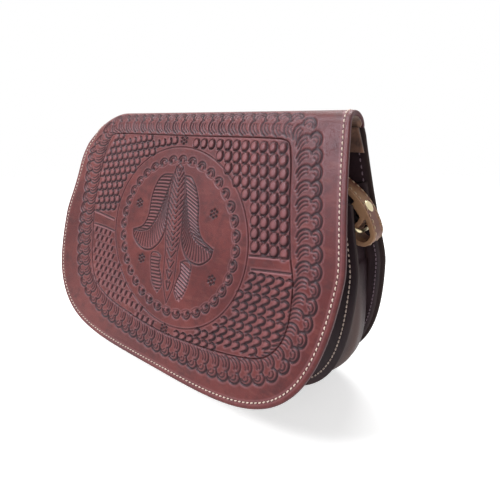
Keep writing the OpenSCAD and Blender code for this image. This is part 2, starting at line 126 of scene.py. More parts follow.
def flapAt(u, v, depth):
    u, v, depth = np.broadcast_arrays(*[np.asarray(x, float) for x in (u, v, depth)])
    r = bag["foldR"]
    a = np.minimum(v / r, foldTurn)
    s = np.maximum(v - arcLength, 0)
    curl = bag["curl"] * (u / bag["half"]) ** 2 * smooth((v + rearLength) / (1.4 * rearLength))
    for f in flares:
        share = smooth((-u - f["start"]) / f["over"]) * smooth((v - f["low"]) / f["rise"])
        u = u - f["far"] * share * (1 - smooth((v - f["high"]) / f["fall"]))
    y = foldY - (r - depth) * np.sin(a) - s * math.cos(foldTurn) - curl
    z = foldZ + (r - depth) * np.cos(a) - s * math.sin(foldTurn)
    return settle(np.stack([u, y, z], -1)) * mm


def onFront(p, depth):
    z = np.maximum(bag["height"] - p[..., 1], 0)
    return np.stack([p[..., 0], frontY(z) + depth, z], -1)


def onBack(p, depth):
    z = np.maximum(bag["height"] - p[..., 1] * math.cos(lean), 0)
    y = bag["depth"] / 2 - z * math.tan(lean) - depth / math.cos(lean)
    return np.stack([p[..., 0], y, z], -1)


# Camera at the photograph's angle
view = {"place": (0.181976, -0.20831, 0.173365), "lens": 27.346,
        "right": (0.79791, 0.60278, 0.0), "up": (-0.19558, 0.25890, 0.94590),
        "back": (0.57016, -0.75474, 0.32447)}


def makeCamera():
    bpy.ops.object.camera_add()
    camera = bpy.context.object
    camera.name = "camera"
    turn = Matrix((view["right"], view["up"], view["back"])).transposed().to_4x4()
    camera.matrix_world = Matrix.Translation(view["place"]) @ turn
    camera.data.lens = view["lens"]
    camera.data.sensor_width = 36
    camera.data.clip_start = 0.01
    bpy.context.scene.camera = camera


# Shader sockets with plain arithmetic
class Wire:
    tree = None

    def __init__(self, socket):
        self.socket = socket

    @classmethod
    def add(cls, kind, settings=None, sockets=None, output=0):
        node = cls.tree.nodes.new(kind)
        for name, value in (settings or {}).items():
            setattr(node, name, value)
        for key, value in (sockets or {}).items():
            if isinstance(value, Wire):
                cls.tree.links.new(value.socket, node.inputs[key])
            else:
                node.inputs[key].default_value = value
        return cls(node.outputs[output])

    @classmethod
    def math(cls, operation, a, b=0.0):
        return cls.add("ShaderNodeMath", {"operation": operation}, {0: a, 1: b})

    def __add__(self, other):
        return Wire.math("ADD", self, other)

    def __radd__(self, other):
        return Wire.math("ADD", other, self)

    def __sub__(self, other):
        return Wire.math("SUBTRACT", self, other)

    def __rsub__(self, other):
        return Wire.math("SUBTRACT", other, self)

    def __mul__(self, other):
        return Wire.math("MULTIPLY", self, other)

    def __rmul__(self, other):
        return Wire.math("MULTIPLY", other, self)

    def between(self, low, high, start=0.0, end=1.0):
        return Wire.add("ShaderNodeMapRange", {"interpolation_type": "SMOOTHSTEP"},
                        {0: self, 1: low, 2: high, 3: start, 4: end})


def noise(scale, detail, rough, stretch=None):
    place = Wire.add("ShaderNodeTexCoord", output=3)
    if stretch:
        place = Wire.add("ShaderNodeMapping", None, {0: place, 3: stretch})
    return Wire.add("ShaderNodeTexNoise", None,
                    {"Vector": place, "Scale": scale, "Detail": detail, "Roughness": rough})


def pits(scale):
    return Wire.add("ShaderNodeTexVoronoi", {"feature": "DISTANCE_TO_EDGE"},
                    {"Vector": Wire.add("ShaderNodeTexCoord", output=3), "Scale": scale})


def attribute(name):
    return Wire.add("ShaderNodeAttribute", {"attribute_name": name}, None, 2)


def blendColour(share, a, b):
    return Wire.add("ShaderNodeMix", {"data_type": "RGBA"}, {0: share, 6: a, 7: b}, 2)


def bump(height, strength, distance, normal=None):
    sockets = {"Height": height, "Strength": strength, "Distance": distance}
    if normal:
        sockets["Normal"] = normal
    return Wire.add("ShaderNodeBump", None, sockets)


def material(name, build, **fixed):
    made = bpy.data.materials.new(name)
    made.use_nodes = True
    Wire.tree = made.node_tree
    Wire.tree.nodes.clear()
    sockets = {**fixed, **build()}
    shader = Wire.add("ShaderNodeBsdfPrincipled", None, sockets)
    out = Wire.tree.nodes.new("ShaderNodeOutputMaterial")
    Wire.tree.links.new(shader.socket, out.inputs[0])
    return made


def rgb(r, g, b):
    def line(c):
        c = c / 255
        return c / 12.92 if c <= 0.04045 else ((c + 0.055) / 1.055) ** 2.4
    return (line(r), line(g), line(b), 1.0)


def tooledLeather():
    cloud = noise(20, 4.0, 0.6)
    mottle = noise(130, 4.0, 0.65)
    streak = noise(70, 3.0, 0.6, stretch=(1.0, 1.0, 4.0))
    grain = noise(1500, 3.0, 0.6)
    pores = pits(1100)
    paintedShade, paint, paintedHighlight = attribute("paintedShade"), attribute("paint"), attribute("paintedHighlight")
    hide = blendColour(cloud.between(0.35, 0.68), rgb(80, 28, 25), rgb(100, 42, 37))
    hide = blendColour(mottle.between(0.42, 0.75) * 0.7, hide, rgb(56, 20, 19))
    hide = blendColour(streak.between(0.5, 0.8) * 0.4, hide, rgb(118, 64, 56))
    # Painted highlight: raised ribs, groove lips and domes lightened toward a pale violet where
    # light catches them
    hide = blendColour(Wire.math("MINIMUM", paintedHighlight * 0.55, 1.0), hide, rgb(156, 106, 110))
    # Painted shade: grooves, pits and stitch holes darkened toward near black where shade falls
    dark = blendColour(paintedShade * (0.82 + 0.3 * mottle), hide, rgb(30, 7, 8))
    colour = blendColour(paint, dark, rgb(82, 44, 44))
    rough = 0.25 + 0.12 * cloud + 0.12 * mottle + 0.06 * paintedShade + 0.2 * paint
    fine = bump(grain, 0.12, 0.0004)
    skin = bump(pores.between(0.0, 0.08) + mottle * 0.7, 0.2, 0.0003, fine)
    return {"Base Color": colour, "Roughness": rough, "Normal": skin}


def suede():
    cloud = noise(90, 4.0, 0.65)
    nap = noise(900, 4.0, 0.7)
    blot = noise(260, 3.0, 0.6)
    colour = blendColour(cloud.between(0.3, 0.72), rgb(100, 70, 58), rgb(150, 110, 88))
    colour = blendColour(blot.between(0.42, 0.7) * 0.6, colour, rgb(64, 46, 42))
    return {"Base Color": colour, "Roughness": 0.86 + 0.08 * nap,
            "Normal": bump(nap, 0.45, 0.0006)}


def darkLeather():
    cloud = noise(28, 4.0, 0.6)
    grain = noise(1300, 3.0, 0.6)
    pores = pits(900)
    wear, paint = attribute("wear"), attribute("paint")
    hide = blendColour(cloud.between(0.3, 0.7), rgb(34, 22, 27), rgb(56, 39, 44))
    # Lighter tone: wear toward the panels' bottoms, a lighter strip along the flange roots, and a
    # painted highlight along the gusset's ridge where light catches it
    wornAndLit = blendColour(wear * (0.6 + 0.6 * cloud), hide, rgb(98, 70, 62))
    colour = blendColour(paint, wornAndLit, rgb(44, 30, 28))
    return {"Base Color": colour, "Roughness": 0.46 + 0.14 * cloud - 0.05 * wear + 0.2 * paint,
            "Normal": bump(pores.between(0.0, 0.09), 0.16, 0.0003, bump(grain, 0.12, 0.0004))}


def strapLeather():
    cloud = noise(90, 4.0, 0.6)
    grain = noise(1200, 4.0, 0.65)
    paint = attribute("paint")
    blot = noise(240, 3.0, 0.6)
    hide = blendColour(cloud.between(0.36, 0.64), rgb(112, 68, 54), rgb(156, 114, 80))
    hide = blendColour(blot.between(0.45, 0.7) * 0.5, hide, rgb(122, 80, 74))
    hide = blendColour(grain.between(0.5, 0.8) * 0.4, hide, rgb(92, 60, 44))
    colour = blendColour(paint * (0.25 + 0.6 * blot), hide, rgb(188, 146, 112))
    return {"Base Color": colour, "Roughness": 0.5 + 0.18 * cloud,
            "Normal": bump(grain, 0.28, 0.0004)}


def paleBrass():
    cloud = noise(160, 3.0, 0.6)
    scratch = noise(700, 2.0, 0.5, stretch=(1.0, 9.0, 1.0))
    colour = blendColour(cloud.between(0.35, 0.7), rgb(222, 208, 172), rgb(200, 184, 146))
    return {"Base Color": colour, "Roughness": 0.22 + 0.16 * cloud + 0.06 * scratch,
            "Normal": bump(scratch, 0.05, 0.0002)}


def thread(light, shade):
    def build():
        twist = Wire.add("ShaderNodeTexWave", {"bands_direction": "DIAGONAL"},
                         {"Scale": 900.0, "Distortion": 2.0, "Detail": 2.0,
                          "Vector": Wire.add("ShaderNodeTexCoord", output=3)}, 1)
        dirt = noise(150, 3.0, 0.6)
        colour = blendColour(twist * 0.45, light, shade)
        colour = blendColour(dirt.between(0.5, 0.78) * 0.5, colour, shade)
        return {"Base Color": colour, "Roughness": 0.72 + 0.1 * twist,
                "Normal": bump(twist, 0.3, 0.0002)}
    return build


looks = {
    "tooled": material("tooled_leather", tooledLeather,
                       **{"Specular IOR Level": 0.3, "Specular Tint": (0.88, 0.86, 1.0, 1.0)}),
    "suede": material("suede", suede, **{"Sheen Weight": 0.35, "Sheen Roughness": 0.5}),
    "dark": material("dark_leather", darkLeather, **{"Specular IOR Level": 0.25}),
    "strap": material("strap_leather", strapLeather, **{"Specular IOR Level": 0.4}),
    "brass": material("brass", paleBrass, Metallic=1.0),
    "cream": material("cream_thread", thread(rgb(226, 206, 194), rgb(160, 132, 116))),
    "strapThread": material("strap_thread", thread(rgb(214, 188, 158), rgb(150, 120, 92))),
    "grey": material("grey_thread", thread(rgb(132, 112, 122), rgb(84, 68, 78))),
}
print("materials made")


# Pieces on the sewn seam have their transform baked into the mesh and stay put with the bag; they
# do not bend
def bendAtSeam(piece):
    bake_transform(piece)


# Closed mesh from points, four-sided faces and a few wider ones, faces outward
def makePiece(name, points, quads, wide, look, body, stands=(), **values):
    points = np.asarray(points, float)
    quads = np.asarray(quads, int).reshape(-1, 4)
    a, b, c, d = (points[quads[:, i]] for i in range(4))
    volume = np.einsum("ij,ij->i", a, np.cross(b, c)).sum()
    if volume + np.einsum("ij,ij->i", a, np.cross(c, d)).sum() < 0:
        quads = quads[:, ::-1]
        wide = [list(reversed(w)) for w in wide]
    corners = np.concatenate([quads.ravel()] + [np.asarray(w, int) for w in wide])
    starts = np.concatenate([np.arange(len(quads)) * 4,
                             len(quads) * 4 + np.cumsum([0] + [len(w) for w in wide])[:-1]])
    mesh = bpy.data.meshes.new(name)
    mesh.vertices.add(len(points))
    mesh.vertices.foreach_set("co", points.ravel())
    mesh.loops.add(len(corners))
    mesh.loops.foreach_set("vertex_index", corners.astype(np.int32))
    mesh.polygons.add(len(quads) + len(wide))
    mesh.polygons.foreach_set("loop_start", starts.astype(np.int32))
    mesh.update(calc_edges=True)
    mesh.validate()
    mesh.shade_smooth()
    for key, data in values.items():
        held = mesh.attributes.new(key, "FLOAT", "POINT")
        held.data.foreach_set("value", np.asarray(data, np.float32).ravel())
    piece = bpy.data.objects.new(name, mesh)
    bpy.context.scene.collection.objects.link(piece)
    mesh.materials.append(looks[look])
    if body == "seam":
        bendAtSeam(piece)
    else:
        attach(piece, body)
    if stands:
        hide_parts(*stands)
    return piece


# Faces between rows of equal length, each row a closed ring
def ringFaces(rows, count, closed=False):
    i = np.arange(rows if closed else rows - 1)[:, None]
    j = np.arange(count)[None, :]
    k = (i + 1) % rows
    m = (j + 1) % count
    quads = np.stack([i * count + j, k * count + j, k * count + m, i * count + m], -1)
    return quads.reshape(-1, 4)


# The two faces that close a tube of rings
def ringEnds(rows, count):
    return [list(range(count)), list(range((rows - 1) * count, rows * count))[::-1]]


# Canvas that holds the tooling: heights, painted shade in the recesses and painted highlight on
# raised parts, by place on the flap
canvas = {"step": 0.25, "u": -126.0, "v": -18.0, "cols": 1008, "rows": 792}
relief = np.zeros((canvas["rows"], canvas["cols"]))
paintedShade = np.zeros_like(relief)
paintedHighlight = np.zeros_like(relief)


def window(low, high):
    c0 = max(int((low[0] - canvas["u"]) / canvas["step"]), 0)
    c1 = min(int((high[0] - canvas["u"]) / canvas["step"]) + 2, canvas["cols"])
    r0 = max(int((low[1] - canvas["v"]) / canvas["step"]), 0)
    r1 = min(int((high[1] - canvas["v"]) / canvas["step"]) + 2, canvas["rows"])
    u = canvas["u"] + canvas["step"] * np.arange(c0, c1)[None, :]
    v = canvas["v"] + canvas["step"] * np.arange(r0, r1)[:, None]
    return (slice(r0, r1), slice(c0, c1)), u, v


# Part of the canvas round a line, and how far each place there is from the line
def distance(points, pad):
    points = np.asarray(points, float)
    part, u, v = window(points.min(0) - pad, points.max(0) + pad)
    best = np.full((v.shape[0], u.shape[1]), 1e9)
    for a, b in zip(points[:-1], points[1:]):
        d = b - a
        t = np.clip(((u - a[0]) * d[0] + (v - a[1]) * d[1]) / (d @ d + 1e-9), 0, 1)
        best = np.minimum(best, np.hypot(u - a[0] - t * d[0], v - a[1] - t * d[1]))
    return part, best


# Groove: a sunk line with painted shade along it and a painted highlight on its raised lip
def press(points, wide, deep, dark):
    part, best = distance(points, 2.4 * wide)
    cut = 1 - smooth((best / wide - 0.2) / 0.8)
    lip = smooth(best / wide) * (1 - smooth((best - wide) / (1.2 * wide)))
    relief[part] = np.minimum(relief[part], mix(relief[part], relief[part] * 0.3 - deep, cut))
    relief[part] += 0.09 * deep * lip
    paintedShade[part] = np.maximum(paintedShade[part], dark * (1 - smooth((best / wide - 0.3) / 0.9)))
    paintedHighlight[part] = np.maximum(paintedHighlight[part] * (1 - cut), 0.5 * lip)


# Rib: a raised line with a painted highlight along its crest, where the painted shade is weakened
def swell(points, wide, high, pale):
    part, best = distance(points, 2 * wide)
    crest = 1 - smooth(best / wide)
    relief[part] += high * crest
    paintedHighlight[part] = np.maximum(paintedHighlight[part], pale * crest)
    paintedShade[part] *= 1 - 0.6 * crest


# Pit: a sunk spot with painted shade in it
def pit(u0, v0, radius, deep=0.5, dark=1.0):
    reach = 2 * radius
    part, u, v = window((u0 - reach, v0 - reach), (u0 + reach, v0 + reach))
    share = np.hypot(u - u0, v - v0) / radius
    sunk = mix(relief[part], -deep, 1 - smooth((share - 0.25) / 0.75))
    relief[part] = np.minimum(relief[part], sunk)
    paintedShade[part] = np.maximum(paintedShade[part], dark * (1 - smooth((share - 0.45) / 0.7)))


# Dome: a raised bump with a painted highlight on its top
def dome(u0, v0, a, b, high):
    part, u, v = window((u0 - a, v0 - b), (u0 + a, v0 + b))
    e = np.clip(1 - ((u - u0) / a) ** 2 - ((v - v0) / b) ** 2, 0, 1)
    relief[part] += high * np.sqrt(e)
    paintedHighlight[part] = np.maximum(paintedHighlight[part], 0.7 * e)


def arc(u0, v0, a, b, start, end, count=9):
    t = np.radians(np.linspace(start, end, count))
    return np.stack([u0 + a * np.cos(t), v0 + b * np.sin(t)], -1)


def curve(points, count=12):
    points = np.asarray(points, float)
    if len(points) == 3:
        t = np.linspace(0, 1, count)[:, None]
        return (1 - t) ** 2 * points[0] + 2 * (1 - t) * t * points[1] + t * t * points[2]
    p = np.concatenate([[2 * points[0] - points[1]], points, [2 * points[-1] - points[-2]]])
    out = []
    for i in range(1, len(p) - 2):
        t = np.linspace(0, 1, count, endpoint=False)[:, None]
        a, b, c, d = p[i - 1], p[i], p[i + 1], p[i + 2]
        out.append(0.5 * (2 * b + (c - a) * t + (2 * a - 5 * b + 4 * c - d) * t * t
                          + (3 * b - a - 3 * c + d) * t ** 3))
    return np.concatenate(out + [points[-1:]])


def spaced(points, count=None, pitch=None, closed=False):
    points = np.asarray(points, float)
    if closed:
        points = np.concatenate([points, points[:1]])
    along = np.concatenate([[0], np.cumsum(np.linalg.norm(np.diff(points, axis=0), axis=1))])
    count = count or max(int(round(along[-1] / pitch)), 2)
    at = np.linspace(0, along[-1], count, endpoint=not closed)
    return np.stack([np.interp(at, along, points[:, i]) for i in range(points.shape[1])], -1)


def stamped(shape, at, along, size=1.0):
    shape = np.asarray(shape, float) * size
    along = np.asarray(along) / np.linalg.norm(along)
    out = np.array([along[1], -along[0]])
    return np.asarray(at) + shape[:, :1] * along + shape[:, 1:] * out


# Where the tooling lies: the medallion, the frame line, the bars and the border
tooling = {"centre": (0.1, 85.5), "rx": 61.0, "ry": 57.5, "ringR": 51.4, "ringCount": 36,
           "tilt": 0.13, "borderPitch": 8.2}
frameRight = [(0, 20.5), (35, 20.2), (62, 20.2), (70, 20.9), (74, 24), (77.5, 35), (80.5, 50),
              (84, 64), (88.5, 80), (93, 92), (95.2, 105), (95.3, 117), (92.3, 127),
              (85, 135.3), (72, 140.5), (50, 144.8), (25, 147.6), (4, 148.8)]
frameLeft = [(-20, 147.2), (-42, 144), (-56, 140.6), (-67, 135.4), (-75, 128), (-79.6, 118),
             (-82.8, 105), (-86, 90), (-88.4, 75), (-88.6, 60), (-88.4, 45), (-87.6, 32),
             (-85, 24), (-78, 20.6), (-40, 20.4)]
borderRight = [(0, 11.6), (40, 11.6), (68, 11.8), (78, 13.4), (84.2, 18.5), (87.2, 28),
               (89.6, 38.6), (92.4, 50), (96, 64), (99.6, 78), (101.8, 91), (102.4, 105),
               (100.8, 118), (97, 129), (89.5, 139), (77, 146.6), (60, 151.6), (40, 154),
               (20, 155.4), (0, 155.8)]
borderLeft = [(-20, 154.4), (-38, 152.4), (-55, 149), (-68, 144), (-79, 137), (-87, 127),
              (-91.2, 114), (-94, 100), (-95.6, 85), (-96.2, 70), (-96.8, 55), (-96.6, 40),
              (-95.4, 28), (-91, 18.6), (-82, 13), (-60, 11.7), (-30, 11.6)]


def loopOf(right, left):
    points = np.array(right + left, float)
    ring = curve(np.concatenate([points[-2:], points, points[:3]]), 16)
    return ring[32:32 + 16 * len(points)]


def tilted(points):
    points = np.array(points, float)
    points[:, 0] += tooling["tilt"] * (points[:, 1] - 77)
    return points


def medallion(a, b):
    cu, cv = tooling["centre"]
    v = cv + tooling["ry"] * b
    return cu + tooling["rx"] * a + tooling["tilt"] * (v - cv), v


def polar(points):
    cu, cv = tooling["centre"]
    angle = np.arctan2(points[:, 1] - cv, points[:, 0] - cu)
    far = np.hypot(points[:, 0] - cu, points[:, 1] - cv)
    order = np.argsort(angle)
    return lambda theta: np.interp(theta, angle[order], far[order], period=2 * math.pi)


frameLoop = loopOf(frameRight, frameLeft)
frameFar = polar(spaced(frameLoop, 2400, closed=True))
sideQ = np.linspace(0, 2, 900)
halfLine = outline(sideQ, bag["flapLength"], 0.0)
rear = level(0, bag["topHalf"], 300, -rearLength)
rise = np.stack([np.full(60, bag["topHalf"]), np.linspace(-rearLength, 0, 60)], -1)
rightHalf = np.concatenate([rear, rise[1:], halfLine[1:]])
flapLoop = np.concatenate([rightHalf, rightHalf[::-1][1:-1] * np.array([-1, 1])])
flapFar = polar(flapLoop)


def flower(u0, v0):
    for k in range(6):
        t = math.radians(60 * k + 30)
        pit(u0 + 2.45 * math.cos(t), v0 + 2.45 * math.sin(t), 1.3, 0.85)
    pit(u0, v0, 1.15, 0.8)


# True where a stamp fits between the medallion, the frame line and the flowers
def roomAt(u, v, room):
    cu, cv = tooling["centre"]
    a = (u - cu - tooling["tilt"] * (v - cv)) / (tooling["rx"] + room)
    b = (v - cv) / (tooling["ry"] + 0.5 * room)
    inFrame = math.hypot(u - cu, v - cv) < float(frameFar(math.atan2(v - cv, u - cu))) - room
    flowers = min(math.hypot(u + 8, v - 23), math.hypot(u - 7, v - 146))
    return a * a + b * b > 1 and inFrame and flowers > 4.6


# Pebble: a dome with a painted highlight, a ring groove, and a deeper groove on the right and lower
# side whose painted shade is darker, as if lit from the upper left
def pebble(u, v, size=1.0):
    dome(u - 0.1, v - 0.1, 2.4 * size, 3.0 * size, 0.5)
    press(arc(u, v, 2.75 * size, 3.25 * size, 0, 360, 14), 0.7, 0.5, 0.65)
    press(arc(u + 0.1, v, 2.85 * size, 3.3 * size, -50, 112, 8), 1.0, 0.85, 1.0)


def toolField():
    hook = curve([(-2.2, -1.0), (-0.4, -2.1), (1.9, -1.5), (2.2, 0.3), (0.4, 1.9), (-1.3, 2.9)], 4)
    for i in range(9):
        v = 25.2 + 6.85 * i
        for j in range(16):
            u = 69.8 + 0.27 * (v - 25.2) - 6.65 * j
            if u > 0 and roomAt(u, v, 2.4 if i else 1.6):
                pebble(u, v, 1.0 if i else 0.92)
    for i in range(-2, 12):
        for j in range(18):
            u = -2.0 - 5.6 * (j + (0.5 if i % 2 else 0))
            v = 26 + 5.35 * i - 0.16 * (u + 60)
            if 22.5 < v < 80 - 0.1 * (u + 75) and roomAt(u, v, 1.9):
                # Scale: a dome with a painted highlight and a dark groove on its right and lower
                # side, painted shade as if lit from the upper left
                dome(u - 0.5, v - 0.4, 2.1, 2.1, 0.34)
                press(arc(u - 0.4, v - 0.2, 2.45, 2.5, -66, 116, 8), 1.05, 0.85, 1.0)
                press([(u - 2.6, v + 2.2), (u - 1.2, v + 2.5), (u + 0.4, v + 2.2)], 0.75, 0.55, 0.9)
    for i in range(14):
        for j in range(16):
            u = 91.4 - 6.05 * j - 1.4 * (i % 2)
            v = 95.4 + 5.6 * i - 0.1 * (u - 77)
            if u > 1 and roomAt(u, v, 2.0):
                dome(u - 0.2, v + 0.1, 1.9, 1.9, 0.3)
                press(hook[:5] + (u, v), 0.8, 0.62, 0.9)
                press(hook[4:] + (u, v), 1.05, 0.8, 1.0)
    for i in range(12):
        for j in range(18):
            u = -1.5 - 5.3 * (j + (0.5 if i % 2 else 0))
            v = 95.2 + 5.3 * i + 0.05 * (u + 70)
            if u < -1 and roomAt(u, v, 1.8):
                dome(u - 2.0, v, 1.7, 2.2, 0.3)
                press([(u + 0.3, v - 1.5), (u, v + 0.2)], 1.15, 0.8, 1.0)
                press([(u, v), (u - 0.4, v + 1.5)], 0.85, 0.6, 0.9)
                press([(u + 1.2, v - 2.1), (u + 3.4, v - 1.9)], 0.5, 0.35, 0.5)
    # Bars: each incised line has a rib just below it with a painted highlight
    for line in ([(62.5, 85.6), (75, 83.6), (88.5, 81.4)], [(66, 92.6), (78, 90.6), (91.5, 88.6)],
                 [(-63.5, 84.0), (-76, 82.0), (-88, 80.4)],
                 [(-61, 92.6), (-72, 90.8), (-84.5, 90.4)]):
        press(curve(line), 0.8, 0.6, 0.8)
        swell(curve(line) + (0, 1.1), 0.8, 0.2, 1.2)
    flower(-8, 23.4)
    flower(7, 145.8)


def toolMedallion():
    t = np.radians(np.arange(0, 361, 2))
    press(np.stack(medallion(np.cos(t), np.sin(t)), -1), 0.7, 0.45, 0.5)
    share = tooling["ringR"] / tooling["rx"]
    for k in range(tooling["ringCount"]):
        t = math.radians(360 * k / tooling["ringCount"])
        at = np.array(medallion(share * math.cos(t), share * math.sin(t)))
        near = np.array(medallion(share * math.cos(t + 0.05), share * math.sin(t + 0.05)))
        along = near - at
        bead = stamped([(1.2, 0.1)], at, along)[0]
        dome(bead[0], bead[1], 1.5, 1.5, 0.4)
        press(stamped(arc(0.2, -0.2, 3.5, 3.6, 8, 172, 12), at, along), 0.85, 0.62, 0.9)
        press(stamped(arc(0.3, 0.0, 2.1, 1.9, -15, 195, 8), at, along), 0.6, 0.5, 0.8)
        low = curve([(-3.2, -1.4), (-0.2, -2.9), (3.4, -1.4)], 6)
        press(stamped(low, at, along), 0.6, 0.3, 0.35)
        spot = stamped([(-1.3, -0.3)], at, along)[0]
        pit(spot[0], spot[1], 1.7, 0.85)
    for u, v in ((-39.5, 69), (30, 67), (-27, 106.5), (38.5, 106)):
        flower(u, v)


# Palm motif: two plumes that curl outwards, a leafy stem and two lower leaves
def toolMotif():
    def at(points, side=1, wide=0.0):
        points = np.array(points, float)
        points[:, 0] = side * (points[:, 0] + wide * smooth((points[:, 0] - 5) / 12)) - 2.5
        return tilted(points)

    def groove(points, count, side, *force, wide=0.0):
        press(at(curve(points, count), side, wide), *force)
    outer = curve([(6, 46.5), (13, 47.6), (18.5, 54), (22, 64), (23.2, 75.7), (28, 84),
                   (37.6, 88.3)], 10)
    curl = curve([(37.6, 88.3), (35.8, 94), (28, 99.3), (18.5, 99), (12, 93.6), (8.4, 86)], 10)
    inner = curve([(6, 46.5), (7.6, 54), (10, 62), (12.8, 71), (17, 80), (22, 85.4), (29, 87.8),
                   (37.6, 88.3)], 10)
    under = curve([(6.8, 64), (7.4, 76), (8.4, 86), (12, 93.6), (18.5, 99), (28, 99.3), (35.8, 94),
                   (37.6, 88.3)], 10)
    leafOut = curve([(9.5, 101.5), (14, 99.6), (19, 101.5), (18, 110.7), (15, 120), (9.6, 125)], 8)
    leafIn = curve([(9.5, 101.5), (10.2, 108), (7.6, 114), (6.2, 120), (9.6, 125)], 8)
    for side in (-1, 1):
        wide = 2.2 if side < 0 else -1.8
        drop = 4.6 if side > 0 else 0.6
        for v in np.arange(48.6, 87.5, 2.35):
            x0 = np.interp(v, inner[:, 1], inner[:, 0])
            x1 = np.interp(v + drop, outer[:, 1], outer[:, 0])
            if x1 - x0 > 2:
                line = [(x0 + 0.5, v), ((x0 + x1) / 2, v + 0.5 * drop - 0.5), (x1 - 0.4, v + drop)]
                groove(line, 6, side, 0.72, 0.66, 0.95, wide=wide)
                # A rib below each hatch groove carries a painted highlight, brighter on the right
                # plume
                rib = np.array(line) + (0, 1.15)
                swell(at(curve(rib, 6), side, wide), 0.8, 0.3, 1.6 if side > 0 else 0.9)
        starts, ends = spaced(inner[14:], 24), spaced(under, 24)
        for near, far in zip(starts[:-1], ends[:-1]):
            bend = (near + far) / 2 + (0.8, 0.8)
            line = [mix(near, far, 0.1), bend, mix(near, far, 0.88)]
            groove(line, 5, side, 0.66, 0.58, 0.9, wide=wide)
        for line in (outer, curl, inner, under):
            press(at(line, side, wide), 0.75, 0.62, 0.9)
        for line in (leafOut, leafIn):
            press(at(line, side), 0.65, 0.55, 0.85)
        for v in np.arange(103, 123, 2.2):
            near = np.interp(v, leafIn[:-4, 1], leafIn[:-4, 0])
            far = np.interp(v, leafOut[12:, 1], leafOut[12:, 0])
            slope = 1.7 if side > 0 else 0.3
            cut = np.array([(near + 0.7, v - slope), (far - 0.6, v + slope)])
            press(at(cut, side), 0.66, 0.6, 0.9)
            # A rib below each leaf cut carries a painted highlight, brighter on the right
            swell(at(cut + (0, 1.1), side), 0.75, 0.3, 1.6 if side > 0 else 0.7)
        stem = [(0, 39), (3.6, 43), (5.4, 50), (6.6, 60), (7.2, 72), (7.2, 84), (5.8, 95)]
        groove(stem, 8, side, 0.6, 0.5, 0.85)
        groove([(5.6, 95), (5.4, 108), (4.6, 118), (0, 130)], 8, side, 0.6, 0.5, 0.8)
        for k in range(15):
            v = 42.6 + 3.5 * k
            half = np.interp(v, [40, 44, 50, 60, 75, 96], [2.4, 4.2, 5.2, 6.2, 6.8, 5.6])
            leaf = [(half * 0.92, v - 1.5), (half * 0.66, v + 0.6), (half * 0.5, v + 1.7)]
            groove(leaf, 5, side, 0.7, 0.66, 1.0)
            if half > 3:
                press(at([(half * 0.3, v - 0.9), (half * 0.04, v + 1.2)], side), 0.66, 0.62, 1.0)
        for v in (97.5, 104.5, 111.5, 118.5):
            reach = 4.2 - 0.1 * (v - 97)
            leaf = [(0.3, v + 2.6), (0.55 * reach, v + 0.4), (reach, v - 2.4)]
            groove(leaf, 5, side, 0.72, 0.6, 0.95)
            press(at([(0.5, v - 1.8), (0.5 * reach, v - 3.0)], side), 0.66, 0.55, 0.9)


# Scroll stamp: a leaf of nested sweeps that ends in a curled head
def toolBorder():
    loop = spaced(loopOf(borderRight, borderLeft), pitch=tooling["borderPitch"], closed=True)
    parts = [([(-1.2, -7.6), (-3.5, -6.2), (-4.7, -3.8), (-4.7, -1.4), (-3.6, 0.4), (-1.9, 1.2)],
              0.9, 0.68, 0.95),
             ([(0.9, -7.0), (-1.4, -5.4), (-2.6, -3.2), (-2.3, -1.0)], 0.72, 0.6, 0.9),
             ([(2.6, -6.4), (0.6, -4.8), (-0.6, -2.6), (-0.4, -0.8)], 0.62, 0.52, 0.85),
             ([(-3.2, 1.5), (-4.0, 3.4), (-3.3, 5.4), (-0.9, 6.8), (1.7, 6.6), (3.5, 5.4),
               (3.6, 3.8)], 0.95, 0.72, 1.0),
             ([(-1.5, 2.4), (-1.5, 3.9), (0.0, 5.0), (1.9, 4.8), (2.5, 3.5)], 0.66, 0.58, 0.9),
             ([(0.2, 2.2), (1.0, 2.9), (1.2, 3.4)], 0.6, 0.5, 0.8)]
    for i, at in enumerate(loop):
        along = loop[(i + 1) % len(loop)] - loop[i - 1]
        for points, wide, deep, dark in parts:
            press(stamped(curve(points, 4), at, along), wide, deep, dark)


def toolLines():
    line = spaced(np.concatenate([frameLoop, frameLoop[:1]]), 700)
    press(line, 0.7, 0.55, 0.8)
    # A rib below the lower part of the frame line carries a painted highlight
    low = line[(line[:, 1] > 120) & (line[:, 0] < 60)]
    swell(low + (0, 1.1), 0.8, 0.2, 0.9)


stitching = {"inset": 3.3, "pitch": 2.75, "length": 1.95, "radius": 0.4}


def flapStitchLine():
    q = np.linspace(0.0, 2.0, 700)
    right = outline(q, bag["flapLength"], stitching["inset"])
    drops = np.linspace(-rearLength + 2, right[0, 1] - 0.1, 20)
    top = np.stack([np.full(20, right[0, 0]), drops], -1)
    right = np.concatenate([top, right])
    return np.concatenate([right, right[::-1][1:] * np.array([-1, 1])])


seamLine = flapStitchLine()
toolField()
toolMedallion()
toolMotif()
toolBorder()
toolLines()
# Stitch holes and the stitch groove, with painted shade in them
holes = spaced(seamLine, pitch=stitching["pitch"])
for hole in holes:
    pit(hole[0], hole[1], 0.55, 0.3, 0.8)
press(seamLine, 0.9, 0.12, 0.18)
print("tooling pressed")


def sample(grid, u, v):
    x = np.clip((u - canvas["u"]) / canvas["step"], 0, canvas["cols"] - 1.001)
    y = np.clip((v - canvas["v"]) / canvas["step"], 0, canvas["rows"] - 1.001)
    i, j = x.astype(int), y.astype(int)
    fx, fy = x - i, y - j
    return ((grid[j, i] * (1 - fx) + grid[j, i + 1] * fx) * (1 - fy)
            + (grid[j + 1, i] * (1 - fx) + grid[j + 1, i + 1] * fx) * fy)


# The flap's hide in three fitted patches that meet in incised lines
hide = {"side": 300, "fieldRows": 74, "borderRows": 62, "round": 0.85}


